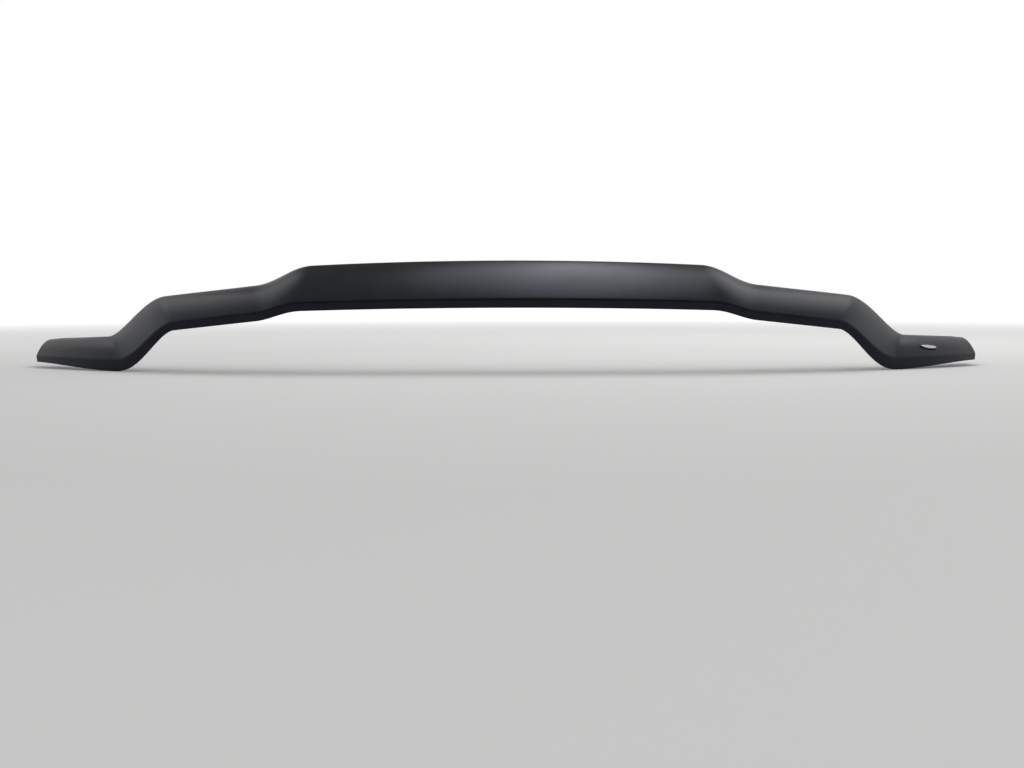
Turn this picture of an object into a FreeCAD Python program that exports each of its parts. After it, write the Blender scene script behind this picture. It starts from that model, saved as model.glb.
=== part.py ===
import FreeCAD, Part
import math
import os

# Hood bug deflector: one formed sheet of black acrylic, about 1.9 m wide, that wraps the
# leading edge of the panel it is bonded to.  A short lip hangs in front of that edge, and a
# low crowned face lies back over it.  The sheet follows the panel's shape: a broad dome in
# the middle, a step down to a shelf on each side, then a steep shoulder down to a low flank
# that sweeps round the corner.  Foam tapes behind the lip and near the trailing edge hold it.
#
# Frame: +X to the viewer's right, +Y rearwards, +Z up, millimetres.  The origin is the middle
# of the front tape's bonding face on the centre line, where the deflector meets its carrier.

# Driving dimensions, in millimetres unless said otherwise
SIZES = {
    # Across the width at the nose, from the centre line outwards
    "dome_half": 414,             # centre line to the middle of the step off the dome
    "shelf_span": 263,            # middle of the step to the middle of the steep shoulder
    "flank_span": 269,            # middle of the shoulder to the end of the sheet
    "step_reach": 42,             # half the width of the step at the nose
    "step_widening": 10,          # more of it at the trailing edge
    "shoulder_reach": 62.5,       # half the width of the shoulder

    # Plan: the nose line seen from above
    "plan_bow": 60,               # gentle sweep of the whole nose line by its end
    "corner_bow": 130,            # extra sweep round the corner by the end

    # Heights of the nose line
    "dome_fall": 6.5,             # fall of the dome from the centre line to the step
    "shelf_drop": 19,             # dome's top down to the inner end of the shelf
    "shelf_fall": 28,             # fall along the shelf
    "flank_drop": 112,            # dome's top down to the inner end of the flank
    "flank_climb": 2,             # rise along the flank

    # Heights of the trailing edge above the nose line beside it
    "dome_rise": 73.6,            # trailing edge above the nose at the centre line
    "dome_rise_loss": 4.5,        # less of it at the step
    "shelf_rise": 54,             # trailing edge above the nose at the inner end of the shelf
    "shelf_rise_loss": 7,         # less of it at the outer end of the shelf
    "flank_rise": 43,             # trailing edge above the nose at the inner end of the flank
    "flank_rise_loss": 11,        # less of it at the end of the sheet
    "end_roll": 1.5,              # how far the trailing corner rolls down
    "end_roll_length": 40,        # length over which it rolls down

    # The face, measured back from the nose
    "face_run": 105,              # depth of the face on the dome and the shelf
    "flank_run": 92,              # depth of the face on the flank
    "step_fan": 10.5,             # outward lean of the step from nose to trailing edge
    "shoulder_fan": 61,           # outward lean of the shoulder from nose to trailing edge
    "end_fan": 15,                # outward lean of the sheet's end
    "crown": 8,                   # bulge of the face above its chord

    # The lip and the sheet
    "lip_height": 15.7,           # lip on the dome and the shelf, below the nose
    "flank_lip": 22.5,            # lip at the foot of the shoulder
    "end_lip": 12.4,              # lip at the end of the sheet
    "lip_tuck": 3,                # how far the lip's lower edge is tucked in
    "bend": 3.8,                  # length of lip and of face that the rounded nose takes up
    "sheet_thickness": 3,         # thickness of the formed acrylic
    "end_corner": 2.5,            # rounding of the face's two rear corners

    # Foam tapes bonded to the inner side
    "tape_thickness": 1.1,        # thickness of the foam tape
    "lip_tape_width": 6.35,       # width of the tape behind the lip
    "edge_tape_width": 12.7,      # width of the tape near the trailing edge
    "edge_tape_inset": 5,         # trailing edge of the sheet to the tape beside it
    "bond_gap": 0.3,              # adhesive film between tape and sheet
    "tape_margin": 20,            # a tape's end to the step, the shoulder or the sheet's end

    # Oval badge on the right-hand flank
    "badge_length": 44,           # long axis of the badge
    "badge_width": 16,            # short axis of the badge
    "badge_height": 2.4,          # badge above the face it sits on
    "badge_bevel": 0.9,           # bevel round the badge's upper rim
    "badge_root": 1.5,            # depth that the badge is cut back to the face
    "badge_inset": 129,           # end of the sheet to the badge
    "badge_share": 0.27,          # share of the face's depth from the nose to the badge
    "badge_turn": -7,             # turn of the badge in the face, in degrees
}
STATIONS = 120         # equal spans across the whole sheet
TAPE_SPAN = 16.0       # about this far between the sections of a tape
FACE_SPANS = 12        # spans that one face of a formed solid takes

doc = FreeCAD.newDocument("hood_bug_deflector")
sheet = doc.addObject("Spreadsheet::Sheet", "sizes")
for row, (name, value) in enumerate(SIZES.items(), start=1):
    sheet.set(f"A{row}", name)
    sheet.set(f"B{row}", str(value))
    sheet.setAlias(f"B{row}", name)
doc.recompute()

STEP = sheet.dome_half
SHOULDER = STEP + sheet.shelf_span
END = SHOULDER + sheet.flank_span


# Small geometry of the section plane: (run back from the nose, height above it)
def unit(start, end):
    length = math.hypot(end[0] - start[0], end[1] - start[1])
    return ((end[0] - start[0]) / length, (end[1] - start[1]) / length)


def shift(point, direction, distance):
    return (point[0] + direction[0] * distance, point[1] + direction[1] * distance)


def inward(direction):
    """The side of a direction that faces the panel."""
    return (direction[1], -direction[0])


def meet(point_a, along_a, point_b, along_b):
    """Where two lines of the section plane cross."""
    det = along_a[1] * along_b[0] - along_a[0] * along_b[1]
    gap = (point_b[0] - point_a[0], point_b[1] - point_a[1])
    return shift(point_a, along_a, (gap[1] * along_b[0] - gap[0] * along_b[1]) / det)


def parallel(bow, distance):
    """A three-pole curve moved towards the panel by one distance all along."""
    first, last = unit(bow[0], bow[1]), unit(bow[1], bow[2])
    start = shift(bow[0], inward(first), distance)
    end = shift(bow[2], inward(last), distance)
    return (start, meet(start, first, end, last), end)


def stretch(bow, low, high):
    """The poles of a three-pole curve between two of its parameters."""
    def blossom(a, b):
        weights = ((1 - a) * (1 - b), a * (1 - b) + b * (1 - a), a * b)
        return tuple(sum(w * p[axis] for w, p in zip(weights, bow)) for axis in (0, 1))
    return (blossom(low, low), blossom(low, high), blossom(high, high))


# How the deflector changes across its width
def ramp(value, start, end):
    """0 before start, 1 after end and a smooth step between."""
    share = min(1.0, max(0.0, (value - start) / (end - start)))
    return share * share * (3 - 2 * share)


def past_shoulder(place):
    """0 on the shelf, 1 on the flank."""
    return ramp(place, SHOULDER - sheet.shoulder_reach, SHOULDER + sheet.shoulder_reach)


def level(place, step_reach, dome, shelf, flank):
    """A height that goes from dome to shelf to flank.  Each is (inner end, change along it)."""
    off_dome = ramp(place, STEP - step_reach, STEP + step_reach)
    off_shelf = past_shoulder(place)
    on_dome = dome[0] + dome[1] * (place / STEP) ** 2
    on_shelf = shelf[0] + shelf[1] * (place - STEP) / sheet.shelf_span
    on_flank = flank[0] + flank[1] * (place - SHOULDER) / sheet.flank_span
    inner = on_dome * (1 - off_dome) + on_shelf * off_dome
    return inner * (1 - off_shelf) + on_flank * off_shelf


def rails(place):
    """Sweep of the nose line, height of the nose and height of the trailing edge."""
    share = place / END
    sweep = sheet.plan_bow * share ** 2 + sheet.corner_bow * share ** 4
    nose = level(place, sheet.step_reach,
                 (0, -sheet.dome_fall), (-sheet.shelf_drop, -sheet.shelf_fall),
                 (-sheet.flank_drop, sheet.flank_climb))
    edge = level(place, sheet.step_reach + sheet.step_widening,
                 (sheet.dome_rise, -sheet.dome_fall - sheet.dome_rise_loss),
                 (sheet.shelf_rise - sheet.shelf_drop, -sheet.shelf_fall - sheet.shelf_rise_loss),
                 (sheet.flank_rise - sheet.flank_drop, sheet.flank_climb - sheet.flank_rise_loss))
    edge -= sheet.end_roll * ramp(place, END - sheet.end_roll_length, END)
    return sweep, nose, edge


class Station:
    """One section of the deflector, in a plane that leans outward with the feature lines."""

    def __init__(self, x):
        place, self.x, self.side = abs(x), x, (1 if x >= 0 else -1)
        self.sweep, self.nose, edge = rails(place)
        ahead, behind = rails(place + 1), rails(abs(place - 1))
        slopes = [(a - b) / 2 if place >= 1 else 0.0 for a, b in zip(ahead, behind)]
        on_flank = past_shoulder(place)
        self.back = sheet.face_run + (sheet.flank_run - sheet.face_run) * on_flank
        self.fan = (sheet.step_fan * ramp(place, 0, STEP)
                    + (sheet.shoulder_fan - sheet.step_fan) * ramp(place, STEP, SHOULDER)
                    + (sheet.end_fan - sheet.shoulder_fan) * ramp(place, SHOULDER, END))
        lip = (sheet.lip_height + (sheet.flank_lip - sheet.lip_height) * on_flank
               + (sheet.end_lip - sheet.flank_lip)
               * ramp(place, SHOULDER + sheet.shoulder_reach, END))
        lip *= math.hypot(1, slopes[1])

        # Outer line: lip foot, lip, rounded nose, crowned face, trailing edge
        self.run = math.hypot(self.back, self.fan)
        rise = edge - self.nose
        corner, foot, trail = (0.0, 0.0), (sheet.lip_tuck, -lip), (self.run, rise)
        chord = unit(corner, trail)
        crest = shift((self.run / 2, rise / 2), inward(chord), -2 * sheet.crown)
        down, up = unit(corner, foot), unit(corner, crest)
        self.lip = (foot, shift(corner, down, sheet.bend))
        self.face = (shift(corner, up, sheet.bend), crest, trail)
        self.corner = corner

        # The sheet's normal leans out of this plane, so a wall measures more here
        face_slope = (slopes[1] + slopes[2]) / 2 * chord[0] - slopes[0] * chord[1]
        self.face_stretch = math.hypot(1, face_slope)
        self.lip_stretch = math.hypot(1, slopes[0])

        # Inner line, one sheet thickness further in
        inside = inward(unit(foot, corner))
        wall = sheet.sheet_thickness * self.lip_stretch
        self.lip_inside = tuple(shift(point, inside, wall) for point in self.lip)
        self.face_inside = parallel(self.face, sheet.sheet_thickness * self.face_stretch)
        self.corner_inside = meet(self.lip_inside[0], down, self.face_inside[0], up)

    def point(self, flat):
        """A point of the section plane in the deflector's frame."""
        lean = flat[0] / self.run
        return FreeCAD.Vector(self.x + self.side * self.fan * lean,
                              self.sweep + self.back * lean, self.nose + flat[1]) - ORIGIN

    def loop(self, *curves):
        """The poles of a closed outline, with a straight edge wherever two curves do not meet."""
        outline = []
        for index, poles in enumerate(curves):
            following = curves[(index + 1) % len(curves)]
            outline.append([self.point(pole) for pole in poles])
            if math.dist(poles[-1], following[0]) > 1e-6:
                outline.append([self.point(poles[-1]), self.point(following[0])])
        return outline

    def sheet_outline(self):
        return self.loop(self.lip, (self.lip[1], self.corner, self.face[0]), self.face,
                         self.face_inside[::-1],
                         (self.face_inside[0], self.corner_inside, self.lip_inside[1]),
                         self.lip_inside[::-1])

    def lip_tape(self):
        """Near and far line of the front tape, centred on the flat inner side of the lip."""
        foot, top = self.lip_inside
        along = unit(foot, top)
        middle = ((foot[0] + top[0]) / 2, (foot[1] + top[1]) / 2)
        lines = []
        for depth in (sheet.bond_gap, sheet.bond_gap + sheet.tape_thickness):
            centre = shift(middle, inward(along), depth * self.lip_stretch)
            lines.append((shift(centre, along, -sheet.lip_tape_width / 2),
                          shift(centre, along, sheet.lip_tape_width / 2)))
        return lines

    def lip_tape_outline(self):
        near, far = self.lip_tape()
        return self.loop(near, far[::-1])

    def edge_tape_outline(self):
        length = math.dist(self.face_inside[0], self.face_inside[2])
        high = 1 - sheet.edge_tape_inset / length
        low = high - sheet.edge_tape_width / length
        lines = [stretch(parallel(self.face_inside, depth * self.face_stretch), low, high)
                 for depth in (sheet.bond_gap, sheet.bond_gap + sheet.tape_thickness)]
        return self.loop(lines[0], lines[1][::-1])


# The frame's origin: the middle of the front tape's bonding face on the centre line
ORIGIN = FreeCAD.Vector(0, 0, 0)
bonding_face = Station(0).lip_tape()[1]
ORIGIN = Station(0).point(tuple((a + b) / 2 for a, b in zip(*bonding_face)))


# Pieces
def strip(shares, rows):
    """Smooth faces across the width.  Each row holds the poles of one place's curve."""
    rails = []
    for poles in zip(*rows):
        rails.append(Part.BSplineCurve())
        rails[-1].interpolate(Points=list(poles), Parameters=shares)
    across, along = rails[0], len(rails) - 1
    surface = Part.BSplineSurface()
    surface.buildFromPolesMultsKnots(
        list(zip(*(rail.getPoles() for rail in rails))), across.getMultiplicities(),
        [along + 1, along + 1], across.getKnots(), [0.0, 1.0], False, False,
        across.Degree, along)
    faces = []
    for start in range(0, len(shares) - 1, FACE_SPANS):
        piece = surface.copy()
        piece.segment(shares[start], shares[min(start + FACE_SPANS, len(shares) - 1)], 0.0, 1.0)
        faces.append(piece.toShape())
    return faces


def cap(outline):
    """The flat face at an end."""
    edges = []
    for poles in outline:
        bezier = Part.BezierCurve()
        bezier.setPoles(poles)
        edges.append(bezier.toShape())
    return Part.Face(Part.Wire(edges))


def formed(label, places, outline):
    """A solid whose every edge line runs smoothly through the same outline at each place."""
    outlines = [getattr(Station(place), outline)() for place in places]
    shares = [(place - places[0]) / (places[-1] - places[0]) for place in places]
    faces = [face for rows in zip(*outlines) for face in strip(shares, rows)]
    shell = Part.makeShell(faces + [cap(outlines[0]), cap(outlines[-1])])
    shell.sewShape()
    solid = Part.makeSolid(shell)
    if solid.Volume < 0:
        solid.reverse()
    piece = doc.addObject("Part::Feature", label)
    piece.Shape, piece.Label = solid, label
    return piece


def spread(start, end, count):
    return [start + (end - start) * index / count for index in range(count + 1)]


pieces = []

# Formed sheet
blank = formed("sheet_blank", spread(-END, END, STATIONS), "sheet_outline")
doc.recompute()


def rear_corner(label, end, inboard):
    """The sharp rear corner outside a round of end_corner, as a block through the wall."""
    along_edge = (inboard.point(inboard.face[2]) - end.point(end.face[2])).normalize()
    along_end = (end.point(end.face[1]) - end.point(end.face[2])).normalize()
    half = along_edge.getAngle(along_end) / 2
    reach = sheet.end_corner / math.tan(half)
    bisector = (along_edge + along_end).normalize()
    tip = (end.point(end.face[2]) + end.point(end.face_inside[2])) / 2
    tip -= bisector * (sheet.end_corner / 16)       # the edges bow out a little past straight lines
    first, last = tip + along_edge * reach, tip + along_end * reach
    middle = tip + bisector * (sheet.end_corner / math.sin(half) - sheet.end_corner)
    across = along_edge.cross(along_end).normalize()
    out_first = across.cross(along_edge) * -sheet.sheet_thickness
    out_last = across.cross(along_end) * sheet.sheet_thickness
    beyond = tip - bisector * (sheet.sheet_thickness / math.sin(half))
    outline = [first, first + out_first, beyond, last + out_last, last]
    edges = [Part.makeLine(a, b) for a, b in zip(outline, outline[1:])]
    edges.append(Part.Arc(last, middle, first).toShape())
    profile = doc.addObject("Part::Feature", f"{label}_profile")
    profile.Shape = Part.Face(Part.Wire(edges))
    block = doc.addObject("Part::Extrusion", label)
    block.Base, block.DirMode, block.Dir, block.Solid = profile, "Custom", across, True
    block.LengthFwd = block.LengthRev = 2 * sheet.sheet_thickness
    return block


def nearest_edge(shape, point):
    """Number of the edge whose middle is nearest to a point."""
    distances = [edge.CenterOfMass.distanceToPoint(point) for edge in shape.Edges]
    return distances.index(min(distances)) + 1


corners = doc.addObject("Part::MultiFuse", "rear_corners")
corners.Shapes = [rear_corner("rear_corner_left", Station(-END), Station(-END + sheet.end_corner)),
                  rear_corner("rear_corner_right", Station(END), Station(END - sheet.end_corner))]
shield = doc.addObject("Part::Cut", "shield")
shield.Base, shield.Tool = blank, corners
shield.Label = "shield"
pieces.append(shield)

# Foam tapes: one run on the dome, one on each shelf and one on each flank
step_clear = sheet.step_reach + sheet.step_widening + sheet.tape_margin
shoulder_clear = sheet.shoulder_reach + sheet.tape_margin
dome_end = STEP - step_clear
shelf = (STEP + step_clear, SHOULDER - shoulder_clear)
flank = (SHOULDER + shoulder_clear, END - sheet.tape_margin)
runs = {"centre": (-dome_end, dome_end),
        "shelf_left": (-shelf[1], -shelf[0]), "shelf_right": shelf,
        "flank_left": (-flank[1], -flank[0]), "flank_right": flank}
for kind in ("lip_tape", "edge_tape"):
    for where, (start, end) in runs.items():
        spans = max(3, round((end - start) / TAPE_SPAN))
        pieces.append(formed(f"{kind}_{where}", spread(start, end, spans), f"{kind}_outline"))

# Plain badge, an oval with a bevelled rim, cut back to the face that carries it
oval = doc.addObject("Part::Ellipse", "badge_oval")
oval.setExpression("MajorRadius", "sizes.badge_length / 2")
oval.setExpression("MinorRadius", "sizes.badge_width / 2")
slug = doc.addObject("Part::Extrusion", "badge_slug")
slug.Base, slug.DirMode, slug.Dir, slug.Solid = oval, "Custom", FreeCAD.Vector(0, 0, 1), True
slug.setExpression("LengthFwd", "sizes.badge_height")
slug.setExpression("LengthRev", "sizes.badge_root")
doc.recompute()
plate = doc.addObject("Part::Chamfer", "badge_plate")
plate.Base = slug
top_rim = nearest_edge(slug.Shape, FreeCAD.Vector(0, 0, sheet.badge_height))
plate.Edges = [(top_rim, sheet.badge_bevel, sheet.badge_bevel)]

under_badge = Station(END - sheet.badge_inset)
seat = stretch(under_badge.face, 0, sheet.badge_share)
beside = Station(END - sheet.badge_inset + 1)
origin = under_badge.point(seat[2])
along = beside.point(stretch(beside.face, 0, sheet.badge_share)[2]) - origin
up_face = under_badge.point(seat[2]) - under_badge.point(seat[1])
normal = along.cross(up_face)
turn = FreeCAD.Rotation(FreeCAD.Vector(0, 0, 1), sheet.badge_turn)
plate.Placement = FreeCAD.Placement(
    origin, FreeCAD.Rotation(along, FreeCAD.Vector(), normal, "ZXY").multiply(turn))
badge = doc.addObject("Part::Cut", "badge")
badge.Base, badge.Tool = plate, shield
badge.Label = "badge"
pieces.append(badge)

doc.recompute()

# Every object has to have built, and every piece has to be one sound solid
for item in doc.Objects:
    if {"Invalid", "Error"} & set(item.State):
        raise RuntimeError(f"{item.Name} did not build: {item.State}")
for piece in pieces:
    shape = piece.Shape
    if shape.isNull() or not shape.isValid() or len(shape.Solids) != 1 or shape.Volume <= 0:
        raise RuntimeError(f"{piece.Label} is not one sound solid")

os.makedirs("parts", exist_ok=True)
for piece in pieces:
    piece.Shape.exportStep(f"parts/{piece.Label}.step")
    box = piece.Shape.BoundBox
    print(f"{piece.Label}: {piece.Shape.Volume:.0f} mm3, {box.XLength:.1f} x "
          f"{box.YLength:.1f} x {box.ZLength:.1f} mm")
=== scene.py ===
# %% [markdown]
# # A hood bug deflector, dressed for its portrait
# The object is one long strip of black acrylic, about 1.9 m wide. Such a strip is heated and
# drape-formed over a mould, so it has one even wall and no sharp folds. A short lip hangs in
# front, a rounded nose turns into a crowned face, and the strip steps down twice on its way to
# each end.
# The CAD model fixes the frame: this script only builds the looks around it, in metres.

# %% Load the fixed frame
import math
import bpy
from mathutils import Matrix, Vector


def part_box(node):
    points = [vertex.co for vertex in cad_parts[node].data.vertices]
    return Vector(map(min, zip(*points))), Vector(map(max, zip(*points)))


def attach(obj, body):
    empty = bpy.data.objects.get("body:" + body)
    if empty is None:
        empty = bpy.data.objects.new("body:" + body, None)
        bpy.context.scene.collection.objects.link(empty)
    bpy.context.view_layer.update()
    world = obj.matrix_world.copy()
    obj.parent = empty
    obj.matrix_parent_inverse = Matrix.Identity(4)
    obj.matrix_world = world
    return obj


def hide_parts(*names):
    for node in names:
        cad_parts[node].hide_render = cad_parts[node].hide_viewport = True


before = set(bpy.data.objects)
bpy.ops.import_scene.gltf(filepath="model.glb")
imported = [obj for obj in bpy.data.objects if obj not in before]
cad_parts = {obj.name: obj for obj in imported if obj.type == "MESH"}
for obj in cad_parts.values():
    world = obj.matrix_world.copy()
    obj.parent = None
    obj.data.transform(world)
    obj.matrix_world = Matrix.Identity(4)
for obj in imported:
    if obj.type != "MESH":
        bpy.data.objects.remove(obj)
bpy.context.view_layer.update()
print("nodes in the frame:", len(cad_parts))

# %% [markdown]
# ## The sizes
# A formed sheet is best described by a rule and not by points: a few named sizes say how high
# the nose line and the trailing edge lie, and how deep the face is, at every place across the
# width. The names and values are those of the CAD source, in millimetres, so both shapes agree.

# %% Named sizes, in millimetres
MM = 0.001
DOME_HALF, SHELF_SPAN, FLANK_SPAN = 414, 263, 269      # widths from the centre line outwards
STEP_REACH, STEP_WIDENING, SHOULDER_REACH = 42, 10, 62.5
PLAN_BOW, CORNER_BOW = 60, 130                         # sweep of the nose line, seen from above
DOME_FALL, SHELF_DROP, SHELF_FALL = 6.5, 19, 28        # heights of the nose line
FLANK_DROP, FLANK_CLIMB = 112, 2
DOME_RISE, DOME_RISE_LOSS = 73.6, 4.5                  # trailing edge above the nose
SHELF_RISE, SHELF_RISE_LOSS = 54, 7
FLANK_RISE, FLANK_RISE_LOSS = 43, 11
END_ROLL, END_ROLL_LENGTH = 1.5, 40
FACE_RUN, FLANK_RUN = 105, 92                          # depth of the face
STEP_FAN, SHOULDER_FAN, END_FAN = 10.5, 61, 15         # outward lean of the feature lines
CROWN, BEND = 8, 3.8                                   # bulge of the face, size of the nose bend
LIP_HEIGHT, FLANK_LIP, END_LIP, LIP_TUCK = 15.7, 22.5, 12.4, 3
SHEET, TAPE, BOND_GAP = 3, 1.1, 0.3                    # wall, foam tape and its adhesive film
END_CORNER = 2.5                                       # rounding of the two rear corners
STEP = DOME_HALF
SHOULDER = STEP + SHELF_SPAN
END = SHOULDER + FLANK_SPAN
print("half width of the sheet:", END, "mm")

# %% [markdown]
# ## How the section changes across the width
# Every section is the same line: lip, rounded nose, crowned face. What changes is where its
# nose and its trailing edge lie. A smooth step blends dome, shelf and flank into each other, as
# warm acrylic does over a mould: it never takes up a crease.

# %% Heights and sweep at one place across the width
def ramp(value, start, end):
    """0 before start, 1 after end and a smooth step between."""
    share = min(1.0, max(0.0, (value - start) / (end - start)))
    return share * share * (3 - 2 * share)


def past_shoulder(place):
    return ramp(place, SHOULDER - SHOULDER_REACH, SHOULDER + SHOULDER_REACH)


def level(place, step_reach, dome, shelf, flank):
    """A height from dome to shelf to flank. Each is (inner end, change along it)."""
    off_dome = ramp(place, STEP - step_reach, STEP + step_reach)
    off_shelf = past_shoulder(place)
    inner = ((dome[0] + dome[1] * (place / STEP) ** 2) * (1 - off_dome)
             + (shelf[0] + shelf[1] * (place - STEP) / SHELF_SPAN) * off_dome)
    return inner * (1 - off_shelf) + (flank[0] + flank[1] * (place - SHOULDER) / FLANK_SPAN) * off_shelf


def rails(place):
    """Sweep of the nose line, height of the nose and height of the trailing edge."""
    share = place / END
    nose = level(place, STEP_REACH, (0, -DOME_FALL), (-SHELF_DROP, -SHELF_FALL),
                 (-FLANK_DROP, FLANK_CLIMB))
    edge = level(place, STEP_REACH + STEP_WIDENING,
                 (DOME_RISE, -DOME_FALL - DOME_RISE_LOSS),
                 (SHELF_RISE - SHELF_DROP, -SHELF_FALL - SHELF_RISE_LOSS),
                 (FLANK_RISE - FLANK_DROP, FLANK_CLIMB - FLANK_RISE_LOSS))
    edge -= END_ROLL * ramp(place, END - END_ROLL_LENGTH, END)
    return PLAN_BOW * share ** 2 + CORNER_BOW * share ** 4, nose, edge


print("nose heights:", [round(rails(place)[1]) for place in (0, STEP, SHOULDER, END)], "mm")

# %% [markdown]
# ## One section, as seven poles
# Three short curves make a section: the lip, the nose bend and the face. Each is a quadratic
# curve with three poles, and neighbours share a pole, so seven points hold it all. The section
# plane leans outwards with the feature lines, which is why a pole is first found in that plane,
# as run back and height, and then turned into a place in the frame.

# %% The poles of a section
CURVES = 3
POLES = 2 * CURVES + 1


def inward(direction):
    """The flat direction square to the given one, towards the sheet's inner side."""
    return Vector((direction.y, -direction.x))


def section(x):
    """Seven flat poles (run, height), and a function that puts such a pole in the frame."""
    place, side = abs(x), (1 if x >= 0 else -1)
    sweep, nose, edge = rails(place)
    slope = (rails(place + 1)[1] - rails(abs(place - 1))[1]) / 2 if place >= 1 else 0
    on_flank = past_shoulder(place)
    back = FACE_RUN + (FLANK_RUN - FACE_RUN) * on_flank
    fan = (STEP_FAN * ramp(place, 0, STEP)
           + (SHOULDER_FAN - STEP_FAN) * ramp(place, STEP, SHOULDER)
           + (END_FAN - SHOULDER_FAN) * ramp(place, SHOULDER, END))
    lip = (LIP_HEIGHT + (FLANK_LIP - LIP_HEIGHT) * on_flank
           + (END_LIP - FLANK_LIP) * ramp(place, SHOULDER + SHOULDER_REACH, END))
    run = math.hypot(back, fan)
    corner, foot = Vector((0, 0)), Vector((LIP_TUCK, -lip * math.hypot(1, slope)))
    trail = Vector((run, edge - nose))
    crest = trail / 2 - inward(trail.normalized()) * 2 * CROWN
    lip_top, face_start = foot.normalized() * BEND, crest.normalized() * BEND

    def put(pole):
        lean = pole.x / run
        return Vector((x + side * fan * lean, sweep + back * lean, nose + pole.y)) * MM - ORIGIN
    return [foot, (foot + lip_top) / 2, lip_top, corner, face_start, crest, trail], put


ORIGIN = Vector((0, 0, 0))
middle_poles, put_middle = section(0)
seat = middle_poles[1] + inward(-middle_poles[0].normalized()) * (SHEET + BOND_GAP + TAPE)
ORIGIN = put_middle(seat)
print("the frame's origin lies", [round(v / MM, 2) for v in ORIGIN], "mm from the nose crease")

# %% [markdown]
# ## Columns and the rounded rear corners
# The sheet's shape changes fast at the steps and slowly between them, but even columns 4 mm
# apart follow it all. The last few millimetres get a denser set, because there the trailing
# edge turns round a small radius. The corner is sharp in plan, about 47 degrees, so the arc is
# solved in the slanted directions of the two edges that it joins.

# %% Places of the columns, and the cut at the corner
COLUMN_GAP, CORNER_COLUMNS = 4, 16
end_poles, put_end = section(END)
inner_poles, put_inner = section(END - 1)
corner_tip = put_end(end_poles[-1])
along_edge = (put_inner(inner_poles[-1]) - corner_tip).normalized()
along_end = (put_end(end_poles[-2]) - corner_tip).normalized()
corner_angle = along_edge.angle(along_end)
corner_reach = END_CORNER / math.tan(corner_angle / 2)


def corner_cut(from_end):
    """How much of the face the rounded corner takes away, in mm, at a distance from the end."""
    if from_end >= corner_reach:
        return 0.0
    centre = END_CORNER / math.sin(corner_angle)
    aside = from_end - centre
    half_chord = math.sqrt(max(0.0, END_CORNER ** 2 - (aside * math.sin(corner_angle)) ** 2))
    return centre - aside * math.cos(corner_angle) - half_chord


outer = [END - corner_reach * (1 - math.cos(math.pi / 2 * k / CORNER_COLUMNS))
         for k in range(CORNER_COLUMNS + 1)]
inner_end = outer[-1]
spans = round(2 * inner_end / COLUMN_GAP)
columns = sorted({round(-inner_end + 2 * inner_end * k / spans, 4) for k in range(spans + 1)}
                 | {round(side * place, 4) for place in outer for side in (-1, 1)})
print("columns:", len(columns), "corner angle:", round(math.degrees(corner_angle), 1), "degrees")

# %% [markdown]
# ## The rails
# All the poles of all the sections go into one mesh of loose points, seven for each column. It
# is never shown. The node tree further down reads it like a table, and draws the skin through it.

# %% A mesh of loose points that holds the poles
def trimmed(start, middle, end, share):
    """The poles of the first part of a quadratic curve."""
    first = start.lerp(middle, share)
    return start, first, first.lerp(middle.lerp(end, share), share)


points = []
for x in columns:
    poles, put = section(x)
    cut = corner_cut(END - abs(x))
    if cut:
        # The face is the last curve, so the last three poles draw it
        share = 1 - cut / (poles[-1] - poles[-3]).length
        poles[-3:] = trimmed(*poles[-3:], share)
    points += [put(pole) for pole in poles]
rails_mesh = bpy.data.meshes.new("shield_rails")
rails_mesh.from_pydata(points, [], [])
rails_object = bpy.data.objects.new("shield_rails", rails_mesh)
print("poles:", len(points))

# %% [markdown]
# ## One helper for nodes
# Every node in this file is added by the same small function, in a geometry tree as in a
# material. Settings are the node's own options. Inputs are given by name or by number, and take
# a plain value or another node's output.

# %% Add one node
def add_node(tree, kind, inputs=None, **settings):
    """Adds a node of a kind, sets its options, and sets or links its inputs."""
    node = tree.nodes.new(kind)
    for name, value in settings.items():
        setattr(node, name, value)
    for socket, value in (inputs or {}).items():
        if isinstance(value, bpy.types.NodeSocket):
            tree.links.new(value, node.inputs[socket])
        else:
            node.inputs[socket].default_value = value
    return node


def linear(hex_colour):
    """A colour typed as sRGB hex, as the linear colour that a shader needs."""
    parts = [int(hex_colour[k:k + 2], 16) / 255 for k in (1, 3, 5)]
    return tuple(p / 12.92 if p <= 0.04045 else ((p + 0.055) / 1.055) ** 2.4 for p in parts) + (1.0,)


print("black acrylic in linear light:", [round(v, 4) for v in linear("#08080A")[:3]])

# %% [markdown]
# ## Finish: satin black acrylic
# The sheet is taken to be acrylic, PMMA, dyed through in black. In the photograph its outer side
# shows broad soft lights and no mirror image, so it gets a fine satin grain. Acrylic's IOR is
# 1.49. The specular level and its cool tint aren't measured values of the material: they were
# set by comparing the render's brightness and colour with the photograph's. The cool tint is
# painted light: it gives the sheet's reflections the blue of an open sky.
#
# Grain, faint waves from the forming and a little dust are all drawn from patterns on Object
# coordinates, which stay put on the piece from every side.

# %% Satin outer side
def new_material(name):
    material = bpy.data.materials.new(name)
    material.use_nodes = True
    material.node_tree.nodes.clear()
    return material, material.node_tree


def finish_material(tree, shader):
    add_node(tree, "ShaderNodeOutputMaterial", {"Surface": shader.outputs["BSDF"]})


satin_acrylic, tree = new_material("black_acrylic_satin_outer")
place = add_node(tree, "ShaderNodeTexCoord").outputs["Object"]
# Grain of 0.5 mm, coarse enough to show in a close view
grain = add_node(tree, "ShaderNodeTexNoise", {"Vector": place, "Scale": 1 / (0.5 * MM), "Detail": 2})
# Forming waves about 45 mm long
waves = add_node(tree, "ShaderNodeTexNoise", {"Vector": place, "Scale": 1 / (45 * MM), "Detail": 1})
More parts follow.
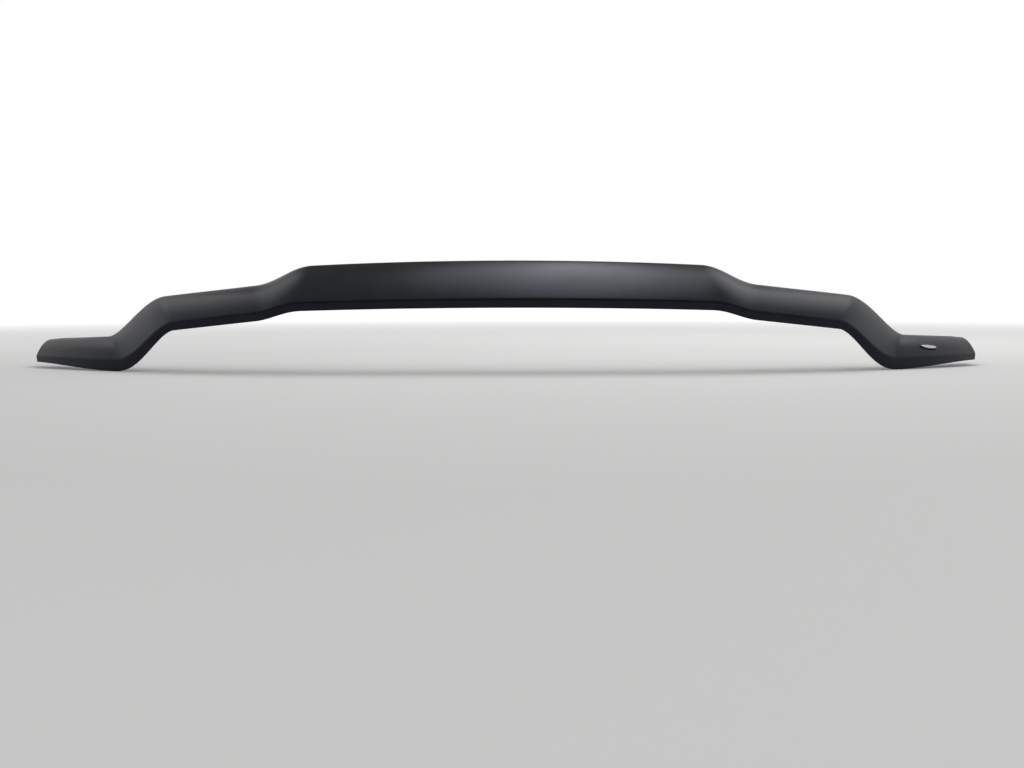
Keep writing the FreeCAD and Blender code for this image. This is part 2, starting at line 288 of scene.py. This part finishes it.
# Dust in soft patches about 60 mm across, with finer specks
dust = add_node(tree, "ShaderNodeTexNoise", {"Vector": place, "Scale": 1 / (60 * MM), "Detail": 6,
                                             "Roughness": 0.62})
dust_share = add_node(tree, "ShaderNodeMapRange", {"Value": dust.outputs[0], "From Min": 0.42,
                                                   "From Max": 0.78, "To Min": 0, "To Max": 0.06})
colour = add_node(tree, "ShaderNodeMix", {"Factor": dust_share.outputs[0], "A": linear("#08080A"),
                                          "B": linear("#55534F")}, data_type="RGBA")
roughness = add_node(tree, "ShaderNodeMapRange", {"Value": dust.outputs[0], "From Min": 0.3,
                                                  "From Max": 0.7, "To Min": 0.27, "To Max": 0.33})
soft_waves = add_node(tree, "ShaderNodeBump", {"Height": waves.outputs[0], "Distance": 0.02 * MM})
fine_grain = add_node(tree, "ShaderNodeBump", {"Height": grain.outputs[0], "Distance": 0.012 * MM,
                                               "Normal": soft_waves.outputs[0]})
# The cool Specular Tint is painted light: a painted reflection of a blue sky
acrylic = add_node(tree, "ShaderNodeBsdfPrincipled", {
    "Base Color": colour.outputs["Result"], "Roughness": roughness.outputs[0], "IOR": 1.49,
    "Specular IOR Level": 0.3, "Specular Tint": linear("#CFDDFA"),
    "Normal": fine_grain.outputs[0]})
finish_material(tree, acrylic)
print("made", satin_acrylic.name)

# %% [markdown]
# ## Finish: the smooth inner side and the routed edge
# The photograph shows neither the inner side nor the cut edges close up, so both follow how such
# a sheet is usually made. The side that faces the panel has no grain and only a haze from
# handling. The edges are cut by a router and scraped, so they are a little lighter and show
# faint lines across the 3 mm wall.

# %% Inner side
smooth_acrylic, tree = new_material("black_acrylic_smooth_inner")
place = add_node(tree, "ShaderNodeTexCoord").outputs["Object"]
haze = add_node(tree, "ShaderNodeTexNoise", {"Vector": place, "Scale": 1 / (35 * MM), "Detail": 5})
roughness = add_node(tree, "ShaderNodeMapRange", {"Value": haze.outputs[0], "From Min": 0.35,
                                                  "From Max": 0.7, "To Min": 0.14, "To Max": 0.26})
colour = add_node(tree, "ShaderNodeMix", {"Factor": haze.outputs[0], "A": linear("#0C0C0E"),
                                          "B": linear("#131316")}, data_type="RGBA")
acrylic = add_node(tree, "ShaderNodeBsdfPrincipled", {
    "Base Color": colour.outputs["Result"], "Roughness": roughness.outputs[0], "IOR": 1.49})
finish_material(tree, acrylic)
print("made", smooth_acrylic.name)

# %% Routed edge
routed_edge, tree = new_material("black_acrylic_routed_edge")
place = add_node(tree, "ShaderNodeTexCoord").outputs["Object"]
# Cutter lines 1.2 mm apart along the width. A wave turns by 20 radians in each unit of its scale.
lines = add_node(tree, "ShaderNodeTexWave", {"Vector": place, "Scale": 2 * math.pi / (20 * 1.2 * MM),
                                             "Distortion": 1.5, "Detail": 2}, bands_direction="X")
marks = add_node(tree, "ShaderNodeBump", {"Height": lines.outputs[1], "Distance": 0.01 * MM})
colour = add_node(tree, "ShaderNodeMix", {"Factor": lines.outputs[1], "A": linear("#17171A"),
                                          "B": linear("#202024")}, data_type="RGBA")
acrylic = add_node(tree, "ShaderNodeBsdfPrincipled", {
    "Base Color": colour.outputs["Result"], "Roughness": 0.34, "IOR": 1.49,
    "Normal": marks.outputs[0]})
finish_material(tree, acrylic)
print("made", routed_edge.name)

# %% [markdown]
# ## The skin, drawn by a node tree
# The outer skin is a grid with one column for each section. The tree turns a grid point's index
# into a column and a row, picks the three poles of its curve from the rails, and blends them
# twice, which is how a quadratic curve is drawn. A script could place each point just as well,
# but the tree can be opened and played with: more rows or columns are one number away.

# %% Build the tree "formed_sheet"
sheet_tree = bpy.data.node_groups.new("formed_sheet", "GeometryNodeTree")
for name, kind in (("Rails", "NodeSocketObject"), ("Columns", "NodeSocketInt"),
                   ("Rows in each curve", "NodeSocketInt"), ("Material", "NodeSocketMaterial")):
    sheet_tree.interface.new_socket(name=name, in_out="INPUT", socket_type=kind)
sheet_tree.interface.new_socket(name="Geometry", in_out="OUTPUT", socket_type="NodeSocketGeometry")
given = add_node(sheet_tree, "NodeGroupInput").outputs
row_count = add_node(sheet_tree, "ShaderNodeMath",
                     {0: given["Rows in each curve"], 1: CURVES, 2: 1},
                     operation="MULTIPLY_ADD").outputs[0]
grid = add_node(sheet_tree, "GeometryNodeMeshGrid", {"Vertices X": given["Columns"],
                                                     "Vertices Y": row_count})
index = add_node(sheet_tree, "GeometryNodeInputIndex").outputs[0]
column_exact = add_node(sheet_tree, "ShaderNodeMath", {0: index, 1: row_count}, operation="DIVIDE")
column = add_node(sheet_tree, "ShaderNodeMath", {0: column_exact.outputs[0]}, operation="FLOOR")
row = add_node(sheet_tree, "ShaderNodeMath", {0: index, 1: row_count}, operation="MODULO")
along = add_node(sheet_tree, "ShaderNodeMath", {0: row.outputs[0], 1: given["Rows in each curve"]},
                 operation="DIVIDE")
whole = add_node(sheet_tree, "ShaderNodeMath", {0: along.outputs[0]}, operation="FLOOR")
curve = add_node(sheet_tree, "ShaderNodeMath", {0: whole.outputs[0], 1: CURVES - 1},
                 operation="MINIMUM")
share = add_node(sheet_tree, "ShaderNodeMath", {0: along.outputs[0], 1: curve.outputs[0]},
                 operation="SUBTRACT")
column_start = add_node(sheet_tree, "ShaderNodeMath", {0: column.outputs[0], 1: POLES},
                        operation="MULTIPLY")
first_pole = add_node(sheet_tree, "ShaderNodeMath",
                      {0: curve.outputs[0], 1: 2, 2: column_start.outputs[0]},
                      operation="MULTIPLY_ADD")
table = add_node(sheet_tree, "GeometryNodeObjectInfo", {"Object": given["Rails"]})
position = add_node(sheet_tree, "GeometryNodeInputPosition").outputs[0]
poles = []
for step in range(3):
    number = add_node(sheet_tree, "ShaderNodeMath", {0: first_pole.outputs[0], 1: step},
                      operation="ADD")
    poles.append(add_node(sheet_tree, "GeometryNodeSampleIndex",
                          {"Geometry": table.outputs["Geometry"], "Value": position,
                           "Index": number.outputs[0]}, data_type="FLOAT_VECTOR").outputs[0])
print("nodes so far:", len(sheet_tree.nodes))

# %% Blend the poles, set the points and end the tree
def blend_of(tree, a, b, share):
    return add_node(tree, "ShaderNodeMix", {"Factor": share, "A": a, "B": b},
                    data_type="VECTOR").outputs["Result"]


share = share.outputs[0]
near = blend_of(sheet_tree, poles[0], poles[1], share)
far = blend_of(sheet_tree, poles[1], poles[2], share)
skin = add_node(sheet_tree, "GeometryNodeSetPosition",
                {"Geometry": grid.outputs["Mesh"], "Position": blend_of(sheet_tree, near, far, share)})
smooth = add_node(sheet_tree, "GeometryNodeSetShadeSmooth", {"Geometry": skin.outputs[0]})
real = add_node(sheet_tree, "GeometryNodeRealizeInstances", {"Geometry": smooth.outputs[0]})
dressed = add_node(sheet_tree, "GeometryNodeSetMaterial",
                   {"Geometry": real.outputs[0], "Material": given["Material"]})
add_node(sheet_tree, "NodeGroupOutput", {0: dressed.outputs[0]})
print("nodes in the tree:", len(sheet_tree.nodes))

# %% [markdown]
# ## From the skin to the sheet
# Solidify gives the skin its 3 mm wall. Even thickness keeps that wall square to the surface on
# the steep shoulders too, and material offsets give the inner side and the edge their own
# finishes. They count on from the skin's first slot, and the tree's grid comes with an empty
# one, so the skin is made plain and gets its three finishes before the wall. A small bevel
# breaks the cut edges, as a scraper does.

# %% Make the shield
def add_object(name, mesh):
    piece = bpy.data.objects.new(name, mesh)
    bpy.context.scene.collection.objects.link(piece)
    return piece


def set_tree(piece, tree, **values):
    """Puts the tree on the piece and sets its inputs by their identifiers."""
    modifier = piece.modifiers.new(tree.name, "NODES")
    modifier.node_group = tree
    named = {item.name: item.identifier for item in tree.interface.items_tree
             if item.in_out == "INPUT"}
    for name, value in values.items():
        modifier[named[name]] = value


def to_plain_mesh(piece):
    """Replaces the piece's mesh by what its modifiers make of it, and removes them."""
    seen = piece.evaluated_get(bpy.context.evaluated_depsgraph_get())
    mesh = bpy.data.meshes.new_from_object(seen)
    piece.modifiers.clear()
    piece.data = mesh
    mesh.name = piece.name


shield = add_object("shield_sheet", bpy.data.meshes.new("shield_sheet"))
set_tree(shield, sheet_tree, **{"Rails": rails_object, "Columns": len(columns),
                                "Rows in each curve": 16, "Material": satin_acrylic})
to_plain_mesh(shield)
skin_mesh = shield.data
skin_mesh.materials.clear()
for finish in (satin_acrylic, smooth_acrylic, routed_edge):
    skin_mesh.materials.append(finish)
skin_mesh.polygons.foreach_set("material_index", [0] * len(skin_mesh.polygons))
wall = shield.modifiers.new("wall", "SOLIDIFY")
wall.thickness, wall.offset, wall.use_even_offset = SHEET * MM, -1, True
wall.use_quality_normals, wall.material_offset, wall.material_offset_rim = True, 1, 2
edges = shield.modifiers.new("broken_edges", "BEVEL")
edges.width, edges.segments, edges.limit_method, edges.angle_limit = 0.4 * MM, 2, "ANGLE", 1.0
to_plain_mesh(shield)
print("shield:", len(shield.data.polygons), "faces,", [m.name for m in shield.data.materials])

# %% Put the shield in the CAD sheet's place
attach(shield, "root")
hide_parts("shield")
low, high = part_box("shield")
print("CAD sheet:", [round(v, 4) for v in low], [round(v, 4) for v in high])
corners = [shield.matrix_world @ v.co for v in shield.data.vertices]
print("dressed:  ", [round(min(c[k] for c in corners), 4) for k in range(3)],
      [round(max(c[k] for c in corners), 4) for k in range(3)])

# %% [markdown]
# ## Finish: foam tape
# The tapes are hidden in the photograph. They are taken to be closed-cell acrylic foam, dark grey
# and quite dead in the light, with fine cells on the cut sides. The CAD strips already have the
# right shape, so they keep their mesh and only get this finish.

# %% Foam tape
foam, tree = new_material("acrylic_foam_tape")
place = add_node(tree, "ShaderNodeTexCoord").outputs["Object"]
# Closed cells about 0.3 mm across
cells = add_node(tree, "ShaderNodeTexVoronoi", {"Vector": place, "Scale": 1 / (0.3 * MM)})
tone = add_node(tree, "ShaderNodeTexNoise", {"Vector": place, "Scale": 1 / (20 * MM), "Detail": 4})
colour = add_node(tree, "ShaderNodeMix", {"Factor": tone.outputs[0], "A": linear("#232325"),
                                          "B": linear("#303033")}, data_type="RGBA")
pits = add_node(tree, "ShaderNodeBump", {"Height": cells.outputs[0], "Distance": 0.05 * MM})
rubber = add_node(tree, "ShaderNodeBsdfPrincipled", {
    "Base Color": colour.outputs["Result"], "Roughness": 0.82, "IOR": 1.48,
    "Sheen Weight": 0.08, "Sheen Roughness": 0.6, "Normal": pits.outputs[0]})
finish_material(tree, rubber)
tapes = [node for name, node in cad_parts.items() if "tape" in name]
for node in tapes:
    node.data.materials.clear()
    node.data.materials.append(foam)
print("tapes dressed:", len(tapes))

# %% [markdown]
# ## The badge
# A small oval badge sits on the right-hand flank. In the photograph it has a bright middle and a
# dark rim. Here it stays bare: a polished oval inside a dark moulded rim, without any sign. It is
# turned like a lathe piece from one profile, but each ring is an oval, so a spin would not do and
# the rings are placed one by one.

# %% Where the badge sits
BADGE_LENGTH, BADGE_WIDTH = 44, 16
BADGE_INSET, BADGE_SHARE = 129, 0.27                   # from the end, and share of the face's depth
BADGE_TURN = -7                                        # degrees, clockwise is negative


def face_point(x, share):
    """The place on the face at a share of its depth."""
    poles, put = section(x)
    return put(trimmed(*poles[-3:], share)[-1])


badge_x = END - BADGE_INSET
badge_origin = face_point(badge_x, BADGE_SHARE)
badge_along = (face_point(badge_x + 1, BADGE_SHARE) - badge_origin).normalized()
badge_up = (face_point(badge_x, BADGE_SHARE + 0.02) - badge_origin).normalized()
badge_normal = badge_along.cross(badge_up).normalized()
badge_up = badge_normal.cross(badge_along)
seat_frame = (Matrix.Translation(badge_origin)
              @ Matrix((badge_along, badge_up, badge_normal)).transposed().to_4x4()
              @ Matrix.Rotation(math.radians(BADGE_TURN), 4, "Z"))
print("badge at", [round(v, 3) for v in badge_origin])

# %% Finishes of the badge: polished chrome and a dark moulded rim
chrome, tree = new_material("polished_chrome_plate")
place = add_node(tree, "ShaderNodeTexCoord").outputs["Object"]
wipes = add_node(tree, "ShaderNodeTexNoise", {"Vector": place, "Scale": 1 / (3 * MM), "Detail": 4})
roughness = add_node(tree, "ShaderNodeMapRange", {"Value": wipes.outputs[0], "To Min": 0.10,
                                                  "To Max": 0.24})
metal = add_node(tree, "ShaderNodeBsdfPrincipled", {
    "Base Color": linear("#D9DCE0"), "Metallic": 1.0, "Roughness": roughness.outputs[0]})
finish_material(tree, metal)
rim_black, tree = new_material("black_abs_rim")
place = add_node(tree, "ShaderNodeTexCoord").outputs["Object"]
grain = add_node(tree, "ShaderNodeTexNoise", {"Vector": place, "Scale": 1 / (0.4 * MM)})
bumps = add_node(tree, "ShaderNodeBump", {"Height": grain.outputs[0], "Distance": 0.02 * MM})
plastic = add_node(tree, "ShaderNodeBsdfPrincipled", {
    "Base Color": linear("#1A1B1E"), "Roughness": 0.4, "IOR": 1.53, "Normal": bumps.outputs[0]})
finish_material(tree, plastic)
print("made", chrome.name, "and", rim_black.name)

# %% Rings of the badge: inset from the outline, height above the face, in mm
RIM_RINGS = [(0.0, -0.5), (0.0, 1.1), (0.3, 1.6), (0.9, 1.85), (2.6, 1.85), (3.2, 1.6), (3.3, 1.1)]
DOME_RINGS = [(3.3, 1.1), (3.4, 1.45), (3.8, 1.8), (4.5, 2.05), (5.4, 2.25), (6.4, 2.36), (7.2, 2.4)]
AROUND = 96


def oval_shell(name, rings, material, closed_top):
    """A mesh through oval rings, with a floor and, where asked for, a top."""
    vertices, faces = [], []
    for inset, height in rings:
        for k in range(AROUND):
            turn = 2 * math.pi * k / AROUND
            flat = Vector(((BADGE_LENGTH / 2 - inset) * math.cos(turn),
                           (BADGE_WIDTH / 2 - inset) * math.sin(turn), height)) * MM
            vertices.append(seat_frame @ flat)
    for ring in range(len(rings) - 1):
        for k in range(AROUND):
            a, b = ring * AROUND + k, ring * AROUND + (k + 1) % AROUND
            faces.append((a, b, b + AROUND, a + AROUND))
    faces.append(tuple(range(AROUND))[::-1])
    if closed_top:
        faces.append(tuple((len(rings) - 1) * AROUND + k for k in range(AROUND)))
    mesh = bpy.data.meshes.new(name)
    mesh.from_pydata(vertices, [], faces)
    mesh.materials.append(material)
    mesh.shade_smooth()
    return add_object(name, mesh)


rim_foot = (RIM_RINGS[-1][0], RIM_RINGS[0][1])
badge_rim = oval_shell("badge_rim", RIM_RINGS + [rim_foot], rim_black, False)
badge_dome = oval_shell("badge_dome", DOME_RINGS, chrome, True)
for piece in (badge_rim, badge_dome):
    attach(piece, "root")
    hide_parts("badge")
print("badge faces:", len(badge_rim.data.polygons) + len(badge_dome.data.polygons))

# %% [markdown]
# ## Floor and backdrop
# A plain pale floor touches the lowest point of the lips. It is so wide that its far end meets
# the pale world at the horizon, and it keeps the deflector's shadow. From 1 m outwards it glows
# more and more, for the camera and in reflections, so that it gets closer to the white world.

# %% Floor
FLOOR_REACH = 40.0
floor_paint, tree = new_material("pale_matt_floor")
from_middle = add_node(tree, "ShaderNodeVectorMath",
                       {0: add_node(tree, "ShaderNodeTexCoord").outputs["Object"]},
                       operation="LENGTH").outputs["Value"]
far_share = add_node(tree, "ShaderNodeMapRange", {"Value": from_middle, "From Min": 1.0,
                                                  "From Max": 6.0, "To Min": 0, "To Max": 0.65})
rays = add_node(tree, "ShaderNodeLightPath").outputs
seen = add_node(tree, "ShaderNodeMath", {0: rays["Is Camera Ray"], 1: rays["Is Glossy Ray"]},
                operation="ADD")
seen = add_node(tree, "ShaderNodeMath", {0: seen.outputs[0], 1: rays["Is Transmission Ray"]},
                operation="ADD", use_clamp=True)
glow = add_node(tree, "ShaderNodeMath", {0: seen.outputs[0], 1: far_share.outputs[0]},
                operation="MULTIPLY")
matt = add_node(tree, "ShaderNodeBsdfPrincipled", {
    "Base Color": linear("#F0F0EF"), "Roughness": 0.9, "Specular IOR Level": 0.2,
    "Emission Color": (1, 1, 1, 1), "Emission Strength": glow.outputs[0]})
finish_material(tree, matt)
floor_height = min(corner.z for corner in corners)
floor_mesh = bpy.data.meshes.new("floor")
floor_mesh.from_pydata([(FLOOR_REACH * x, FLOOR_REACH * y, floor_height)
                        for x, y in ((-1, -1), (1, -1), (1, 1), (-1, 1))], [], [(0, 1, 2, 3)])
floor_mesh.materials.append(floor_paint)
floor = add_object("floor", floor_mesh)
print("floor at", round(floor_height, 4), "m")

# %% [markdown]
# ## Light
# The photograph was taken under an open sky that is brightest overhead and a little to the
# right, so the crowned face carries one broad soft light right of its middle and fades to black
# at the crease. Two soft lamps above and slightly behind make that band, a narrow one inside a
# wide one, so that it fades out to both sides. Two weaker lamps reach the shelves from behind.
#
# The world is white for the camera and plain for diffuse light. A black sheet shows mostly what
# it mirrors, so reflections get a room of their own: white low down behind, where the backdrop
# is, brighter overhead than behind, and with a pale wall at each side for the shoulders.

# %% Lamps
def soft_lamp(name, place, aim, size, power):
    """An oval lamp in watts, at a place and aimed at a point, both in metres."""
    lamp = bpy.data.lights.new(name, "AREA")
    lamp.shape, lamp.size, lamp.size_y, lamp.energy = "ELLIPSE", size[0], size[1], power
    holder = bpy.data.objects.new(name, lamp)
    bpy.context.scene.collection.objects.link(holder)
    holder.location = place
    holder.rotation_euler = (Vector(aim) - Vector(place)).to_track_quat("-Z", "Y").to_euler()


soft_lamp("sky_core", (0.38, 0.8, 2.25), (0.38, 0.1, 0), (0.8, 2.3), 8)
soft_lamp("sky_glow", (0.38, 0.8, 2.3), (0.38, 0.1, 0), (1.8, 2.5), 14.5)
soft_lamp("left_side", (-1.75, 1.25, 1.5), (-0.6, 0.1, 0), (1.1, 1.1), 2.1)
soft_lamp("right_side", (1.6, 1.3, 1.5), (0.5, 0.1, 0), (1.2, 1.2), 3.8)
print("lamps:", len(bpy.data.lights))

# %% World: the white backdrop, low down behind and for the camera
world = bpy.data.worlds.new("pale_studio")
bpy.context.scene.world = world
world.use_nodes = True
world.node_tree.nodes.clear()
tree = world.node_tree
rays = add_node(tree, "ShaderNodeLightPath").outputs
direction = add_node(tree, "ShaderNodeSeparateXYZ",
                     {0: add_node(tree, "ShaderNodeTexCoord").outputs["Generated"]}).outputs
low = add_node(tree, "ShaderNodeMapRange", {"Value": direction["Z"], "From Min": 0.33,
                                            "From Max": 0.4, "To Min": 1, "To Max": 0})
behind = add_node(tree, "ShaderNodeMapRange", {"Value": direction["Y"], "From Min": 0.8,
                                               "From Max": 0.92, "To Min": 0, "To Max": 1})
backdrop = add_node(tree, "ShaderNodeMath", {0: low.outputs[0], 1: behind.outputs[0]},
                    operation="MULTIPLY")
backdrop = add_node(tree, "ShaderNodeMath", {0: backdrop.outputs[0], 1: rays["Is Camera Ray"]},
                    operation="MAXIMUM")
print("nodes for the backdrop:", len(tree.nodes))

# %% World: the room that the sheet mirrors
height = add_node(tree, "ShaderNodeMapRange", {"Value": direction["Z"], "From Min": 0.15,
                                               "From Max": 0.95, "To Min": 0.08, "To Max": 0.62})
fading = add_node(tree, "ShaderNodeMapRange", {"Value": direction["Y"], "From Min": -0.1,
                                               "From Max": 0.6, "To Min": 1, "To Max": 0.4})
overhead = add_node(tree, "ShaderNodeMath", {0: height.outputs[0], 1: fading.outputs[0]},
                    operation="MULTIPLY")
aside = add_node(tree, "ShaderNodeMath", {0: direction["X"]}, operation="ABSOLUTE")
side_wall = add_node(tree, "ShaderNodeMapRange", {"Value": aside.outputs[0], "From Min": 0.55,
                                                  "From Max": 0.85, "To Min": 0, "To Max": 0.65})
rear_side = add_node(tree, "ShaderNodeMapRange", {"Value": aside.outputs[0], "From Min": 0.3,
                                                  "From Max": 0.5, "To Min": 0, "To Max": 0.35})
rearwards = add_node(tree, "ShaderNodeMapRange", {"Value": direction["Y"], "From Min": 0.45,
                                                  "From Max": 0.7, "To Min": 0, "To Max": 1})
sky = add_node(tree, "ShaderNodeMath", {0: rear_side.outputs[0], 1: rearwards.outputs[0],
                                        2: overhead.outputs[0]}, operation="MULTIPLY_ADD")
sky = add_node(tree, "ShaderNodeMath", {0: sky.outputs[0], 1: side_wall.outputs[0]},
               operation="ADD")
mirrored = add_node(tree, "ShaderNodeMix", {"Factor": backdrop.outputs[0], "A": sky.outputs[0],
                                            "B": 1.0})
strength = add_node(tree, "ShaderNodeMix", {"Factor": rays["Is Diffuse Ray"],
                                            "A": mirrored.outputs[0], "B": 0.42})
light = add_node(tree, "ShaderNodeBackground", {"Color": (1, 1, 1, 1),
                                                "Strength": strength.outputs[0]})
add_node(tree, "ShaderNodeOutputWorld", {"Surface": light.outputs[0]})
print("nodes in the world:", len(tree.nodes))

# %% [markdown]
# ## Camera
# The traced outline of the photograph was fitted with a camera about a metre and a half in
# front, at the height of the nose line, that looks a few degrees down. Its focal length was
# found in pixels of a picture 1024 pixels wide.

# %% Camera
SENSOR, FOCAL_PIXELS, PICTURE_PIXELS = 36, 860, 1024
camera_data = bpy.data.cameras.new("portrait")
camera_data.sensor_width = SENSOR
camera_data.lens = FOCAL_PIXELS / PICTURE_PIXELS * SENSOR
camera = bpy.data.objects.new("portrait", camera_data)
bpy.context.scene.collection.objects.link(camera)
yaw, pitch, roll = math.radians(-0.26), math.radians(-5.18), math.radians(-0.12)
camera.matrix_world = (Matrix.Translation((0.002, -1.547, -0.0036))
                       @ Matrix.Rotation(yaw, 4, "Z") @ Matrix.Rotation(math.pi / 2 + pitch, 4, "X")
                       @ Matrix.Rotation(roll, 4, "Z"))
bpy.context.scene.camera = camera
bpy.context.scene.view_settings.view_transform = "Standard"
print("lens:", round(camera_data.lens, 2), "mm")
